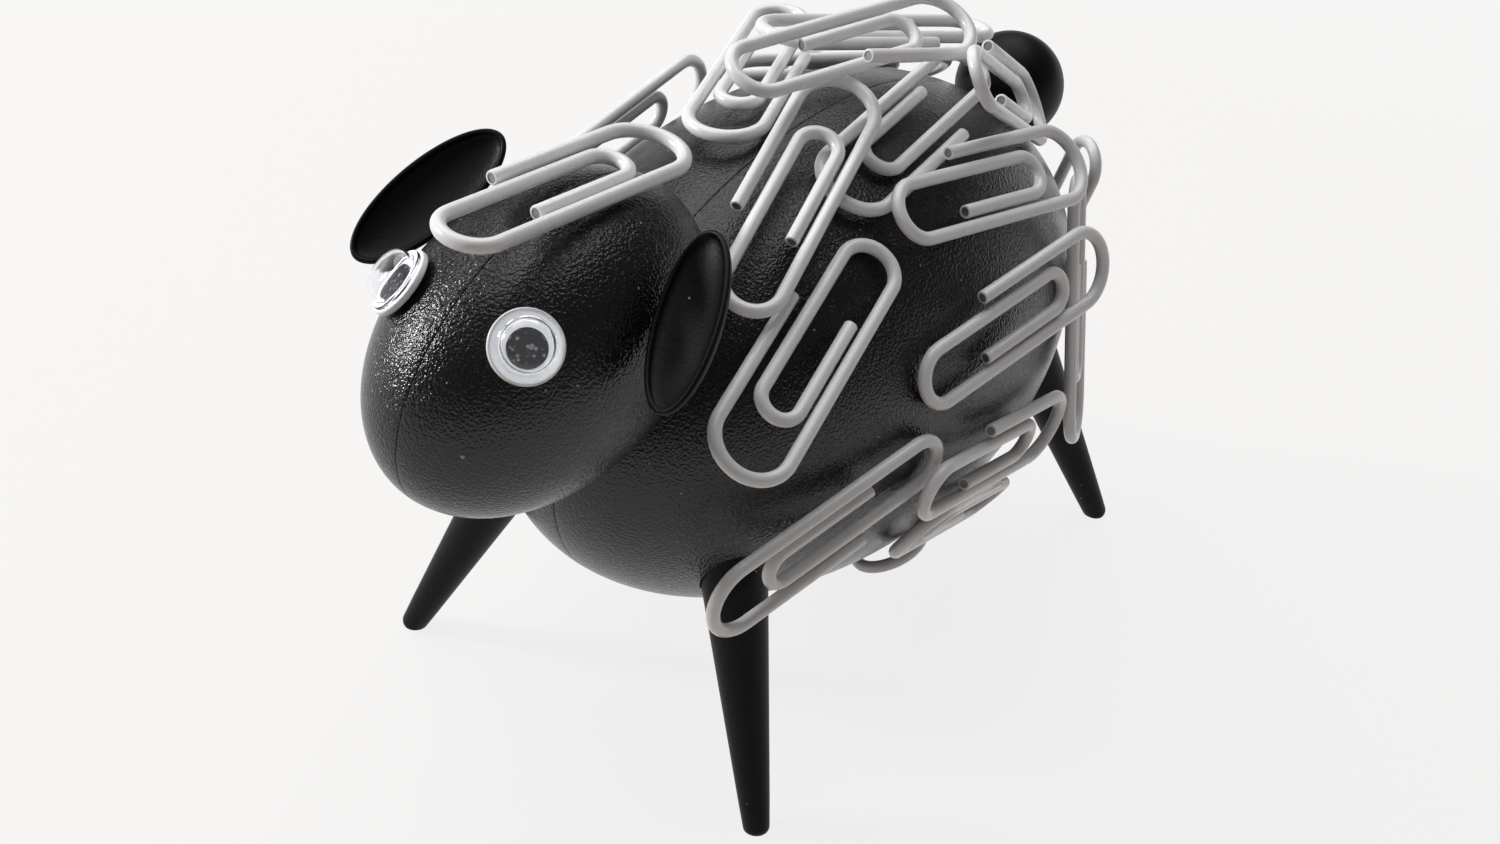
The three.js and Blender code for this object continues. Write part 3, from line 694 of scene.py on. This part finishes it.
def eye_dome(name, spot, normal):
    """The clear dome: a flange and a round-shouldered crown, thin walled and open below."""
    edge = DOME_FLANGE_EDGE
    flange_top = DOME_FOOT + DOME_FLANGE
    flange_edge = (DOME_FLANGE_RADIUS - edge, flange_top - edge)
    outer = [(DOME_FLANGE_RADIUS, DOME_FOOT)] + arc(flange_edge, edge, 0, 90, 3)
    outer += [(DOME_RADIUS + DOME_CORNER, flange_top), (DOME_RADIUS, flange_top + DOME_CORNER)]
    angles = np.radians(np.linspace(0, 88, 22))
    crown = [(math.cos(a) ** DOME_SQUARENESS, math.sin(a) ** DOME_SQUARENESS) for a in angles]
    shoulder = DOME_FOOT + DOME_SHOULDER
    rise = DOME_HEIGHT - DOME_SHOULDER
    outer += [(DOME_RADIUS * c, shoulder + rise * s) for c, s in crown] + [(0, shoulder + rise)]
    inside, inner_rise = DOME_RADIUS - DOME_WALL, rise - DOME_WALL
    lining = [(0, shoulder + inner_rise)]
    lining += [(inside * c, shoulder + inner_rise * s) for c, s in reversed(crown)]
    lining += [(inside, DOME_FOOT)]
    points, faces = loft(lathe(outer + lining, spot, normal, EYE_STEPS), False, False)
    last = len(points) - EYE_STEPS
    for i in range(EYE_STEPS):
        j = (i + 1) % EYE_STEPS
        faces.append((i, j, last + j, last + i))
    dome = add_mesh(f"eye_bubble_{name}", points, faces, [EYE_CLEAR])
    settle(soften(dome), "holder", f"eye_dome_{name}")


def eye_pupil(name, spot, normal):
    """The loose disc, which has slid down in the dome."""
    down = np.array([0, 0, -1.0])
    down = unit(down - down @ normal * normal) * PUPIL_OFFSET
    edge = PUPIL_EDGE
    inner = PUPIL_RADIUS - edge
    profile = [(0, PUPIL_LIFT), (inner, PUPIL_LIFT)]
    profile += arc((inner, PUPIL_LIFT + edge), edge, -90, 0, 4)[1:]
    profile += arc((inner, PUPIL_THICKNESS - edge), edge, 0, 90, 4)
    profile += [(0, PUPIL_THICKNESS)]
    rings = lathe(profile, spot + down + normal * DOME_FOOT, normal, PUPIL_STEPS)
    loose = add_mesh(f"eye_loose_disc_{name}", *loft(rings), [EYE_PUPIL])
    settle(soften(loose), f"pupil_{name}", f"eye_pupil_{name}")


def eye(name, side):
    """A wobbly eye on the head."""
    spot, normal = head.surface(EYE_ALONG, EYE_AROUND, side)
    eye_disc(name, spot, normal)
    eye_dome(name, spot, normal)
    eye_pupil(name, spot, normal)


# Clips

def clip_line(lift, wide_steps, top_steps, inner_steps):
    """The wire's middle line: outer leg, wide loop, long side, top loop, inner loop, inner leg."""
    middle = (CLIP_LENGTH - WIRE) / 2
    wide, top, inner = ((size - WIRE) / 2 for size in (CLIP_WIDTH, CLIP_TOP_LOOP, CLIP_INNER_LOOP))
    points = []

    def loop(x, y, radius, start, steps):
        for a in start + np.pi * np.arange(steps + 1) / steps:
            points.append((x + radius * math.cos(a), y + radius * math.sin(a) - middle, 0.0))

    leg_length = CLIP_OUTER_END - wide
    lift = math.radians(lift)
    points.append((-wide, wide + leg_length * math.cos(lift) - middle, leg_length * math.sin(lift)))
    loop(0, wide, wide, math.pi, wide_steps)
    loop(wide - top, 2 * middle - top, top, 0, top_steps)
    inner_side = wide - 2 * top
    loop(inner_side + inner, CLIP_INNER_START + inner, inner, math.pi, inner_steps)
    points.append((inner_side + 2 * inner, CLIP_INNER_END - middle, 0.0))
    return np.array(points)


def fit_line(vertices, knots):
    """Where a clip lies: the turn and shift that bring the knots onto its rings of points."""
    centre, knot_centre = vertices.mean(0), knots.mean(0)
    axes = np.linalg.svd(vertices - centre, full_matrices=False)[2]
    knot_axes = np.linalg.svd(knots - knot_centre, full_matrices=False)[2]
    best = None
    for flip in ((1, 1), (1, -1), (-1, 1), (-1, -1)):
        to, start = axes.copy(), knot_axes.copy()
        to[0] *= flip[0]
        to[1] *= flip[1]
        to[2] = np.cross(to[0], to[1])
        start[2] = np.cross(start[0], start[1])
        turn = to.T @ start
        shift = centre - turn @ knot_centre
        for _ in range(5):
            moved = knots @ turn.T + shift
            near = np.linalg.norm(vertices[:, None] - moved[None], axis=2).argmin(1)
            used = [k for k in range(len(knots)) if (near == k).any()]
            middles = np.array([vertices[near == k].mean(0) for k in used])
            a, b = knots[used], middles
            u, _, vt = np.linalg.svd((a - a.mean(0)).T @ (b - b.mean(0)))
            mirror = np.diag([1, 1, np.sign(np.linalg.det(vt.T @ u.T))])
            turn = vt.T @ mirror @ u.T
            shift = b.mean(0) - turn @ a.mean(0)
        error = float(np.abs(knots[used] @ turn.T + shift - middles).max())
        if best is None or error < best[0]:
            best = (error, turn, shift)
    return best


def find_clip(node):
    """The turn, shift and lift of the clip that a node holds."""
    co = np.array([v.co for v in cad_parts[node].data.vertices]) / MM
    vertices = np.unique(np.round(co, 3), axis=0)
    found = []
    for lift in (0, CLIP_LIFT, -CLIP_LIFT):
        found.append((*fit_line(vertices, clip_line(lift, *FRAME_LOOPS)), lift))
    return min(found, key=lambda entry: entry[0])[1:]


def rounded_kink(line):
    """Turns the kink where a lifted leg leaves the loop into a short bend."""
    corner, end = line[1:3]
    start = corner + unit(line[0] - corner) * CLIP_KINK
    bend = []
    for t in (0, 0.25, 0.5, 0.75):
        bend.append((1 - t) ** 2 * start + 2 * t * (1 - t) * corner + t**2 * end)
    return np.array([line[0], *bend, *line[2:]])


def wire_rings(line):
    """Rings of the coated wire along its line, with a rounded coating edge at each end."""
    heading = np.gradient(line, axis=0)
    heading /= np.linalg.norm(heading, axis=1)[:, None]
    up = np.array([0, 0, 1.0])

    def ring(point, direction, radius):
        beside = unit(np.cross(direction, up))
        above = np.cross(beside, direction)
        angles = round_angles(WIRE_STEPS)
        return [point + radius * (math.cos(t) * beside + math.sin(t) * above) for t in angles]

    def end_rings(point, direction, inwards):
        """From the sunk core over the coating's edge; inwards points into the wire."""
        sunk = point + inwards * WIRE_CORE_DEPTH
        rings = [[sunk], ring(sunk, direction, core), ring(point, direction, core)]
        return rings + [ring(point + inwards * depth, direction, r) for r, depth in edge]

    radius, core = WIRE / 2, WIRE_CORE / 2
    edge = arc((radius - WIRE_EDGE, WIRE_EDGE), WIRE_EDGE, -90, 0, 2)
    rings = end_rings(line[0], heading[0], heading[0])
    rings += [ring(p, h, radius) for p, h in zip(line[1:-1], heading[1:-1])]
    return rings + end_rings(line[-1], heading[-1], -heading[-1])[::-1]


def clip(node):
    """A coated wire clip in place of a node, with bare steel at the wire's two ends."""
    turn, shift, lift = find_clip(node)
    line = clip_line(lift, *FINE_LOOPS)
    if lift:
        line = rounded_kink(line)
    rings = [[turn @ p + shift for p in ring] for ring in wire_rings(line)]
    points, faces = loft(rings)
    wire = add_mesh(node.replace("clip", "wire_clip"), points, faces, [VINYL, CORE])
    core_faces = 2 * WIRE_STEPS
    for face in wire.data.polygons:
        if face.index < core_faces or face.index >= len(wire.data.polygons) - core_faces:
            face.material_index = 1
    soften(wire, 50)
    settle(wire, node, node)


def dress(node, material):
    """Gives a hidden piece of the frame, which stays as it is, its material."""
    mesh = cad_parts[node].data
    mesh.materials.clear()
    mesh.materials.append(material)


for side_name, side_sign in SIDES:
    body_half(side_name, side_sign)
    head_half(side_name, side_sign)
    ear(side_name, side_sign)
    eye(side_name, side_sign)
    for hip_name, hip_place in HIPS.items():
        leg(hip_name, hip_place, side_name, side_sign)
tail_ball()
for node_name in sorted(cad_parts):
    if node_name.startswith("clip_"):
        clip(node_name)
    if node_name.startswith("magnet"):
        dress(node_name, FERRITE)
dress("neck_pin", LIMB)


# Floor, light and camera

FLOOR_HALF = 4000.0
LAMP_WHITE = (0.98, 0.99, 1.0)

# The camera's place in millimetres and turn in degrees, fitted to the photo's outlines
CAMERA_PLACE = (94.15, -147.95, 143.71)
CAMERA_TURN = (55.1697, -5.7524, 36.0160)
CAMERA_LENS = 51.84
CAMERA_SENSOR = 36.0


def add_rays(nodes, links, *kinds):
    """1 for the kinds of ray that are named, and 0 for all others."""
    path = nodes.new("ShaderNodeLightPath")
    total = path.outputs[kinds[0]]
    for kind in kinds[1:]:
        total = combine(nodes, links, "MAXIMUM", total, path.outputs[kind])
    return total


def pale_floor():
    """A pale table that the camera, metal and glass see as nearly white."""
    material, nodes, links, shader = new_material("floor_pale")
    where = place(nodes)
    cloud = noise(nodes, links, where, 6, 2.0)
    shade = mix(nodes, links, cloud, (0.53, 0.47, 0.43), (0.57, 0.51, 0.47))
    links.new(shade, shader.inputs["Base Color"])
    shader.inputs["Roughness"].default_value = 0.6
    shader.inputs["Specular IOR Level"].default_value = 0.2
    glow = nodes.new("ShaderNodeEmission")
    glow.inputs["Strength"].default_value = 1.0
    seen = add_rays(nodes, links, "Is Camera Ray", "Is Glossy Ray", "Is Transmission Ray")
    away = nodes.new("ShaderNodeVectorMath")
    away.operation = "LENGTH"
    links.new(where, away.inputs[0])
    glowing = ramp(nodes, links, away.outputs["Value"], 0.15, 0.7, 0.82, 1.0)
    share = combine(nodes, links, "MULTIPLY", seen, glowing)
    blend = nodes.new("ShaderNodeMixShader")
    links.new(share, blend.inputs["Fac"])
    links.new(shader.outputs["BSDF"], blend.inputs[1])
    links.new(glow.outputs["Emission"], blend.inputs[2])
    links.new(blend.outputs["Shader"], nodes["Material Output"].inputs["Surface"])
    return material


def wide_floor():
    """A floor that reaches past what the camera sees."""
    half = FLOOR_HALF
    corners = [(-half, -half, 0), (half, -half, 0), (half, half, 0), (-half, half, 0)]
    floor = add_mesh("floor", corners, [(0, 1, 2, 3)], [pale_floor()], smooth=False)


def studio_world():
    """A dim, warm room that the camera and glass see as white, and gloss only low down."""
    world = bpy.data.worlds.new("studio")
    world.use_nodes = True
    nodes, links = world.node_tree.nodes, world.node_tree.links
    ambient = nodes["Background"]
    ambient.inputs["Color"].default_value = (1.0, 0.97, 0.95, 1)
    ambient.inputs["Strength"].default_value = 0.16
    white = nodes.new("ShaderNodeBackground")
    white.inputs["Color"].default_value = (1, 1, 1, 1)
    white.inputs["Strength"].default_value = 1.0
    direction = nodes.new("ShaderNodeTexCoord").outputs["Generated"]
    height = nodes.new("ShaderNodeSeparateXYZ")
    links.new(direction, height.inputs["Vector"])
    low = ramp(nodes, links, height.outputs["Z"], 0.12, 0.0)
    shiny = combine(nodes, links, "MULTIPLY", add_rays(nodes, links, "Is Glossy Ray"), low)
    seen = add_rays(nodes, links, "Is Camera Ray", "Is Transmission Ray")
    choose = nodes.new("ShaderNodeMixShader")
    links.new(combine(nodes, links, "MAXIMUM", seen, shiny), choose.inputs["Fac"])
    links.new(ambient.outputs["Background"], choose.inputs[1])
    links.new(white.outputs["Background"], choose.inputs[2])
    links.new(choose.outputs["Shader"], nodes["World Output"].inputs["Surface"])
    return world


def area_light(name, direction, distance, size, power, colour):
    """A soft light that looks at the body from a direction."""
    data = bpy.data.lights.new(name, "AREA")
    data.shape = "RECTANGLE"
    data.size, data.size_y = size
    data.energy = power
    data.color = colour
    lamp = bpy.data.objects.new(name, data)
    target = Vector(body_centre) * MM
    lamp.location = target + Vector(unit(direction)) * distance
    lamp.rotation_mode = "QUATERNION"
    lamp.rotation_quaternion = (target - lamp.location).to_track_quat("-Z", "Y")
    bpy.context.scene.collection.objects.link(lamp)


def photo_camera():
    """The camera at the photo's angle."""
    lens = bpy.data.cameras.new("camera")
    lens.sensor_width = CAMERA_SENSOR
    lens.lens = CAMERA_LENS
    lens.clip_start = 0.01
    camera = bpy.data.objects.new("camera", lens)
    turn = Euler([math.radians(angle) for angle in CAMERA_TURN]).to_matrix().to_4x4()
    camera.matrix_world = Matrix.Translation(Vector(CAMERA_PLACE) * MM) @ turn
    bpy.context.scene.collection.objects.link(camera)
    return camera


wide_floor()
area_light("window_left", (-0.79, -0.47, 0.39), 0.75, (0.125, 0.21), 4.3, LAMP_WHITE)
area_light("room_above", (-0.35, 0.25, 0.90), 0.9, (1.0, 1.0), 7.0, LAMP_WHITE)
bpy.context.scene.world = studio_world()
bpy.context.scene.camera = photo_camera()
bpy.context.scene.view_settings.view_transform = "Standard"
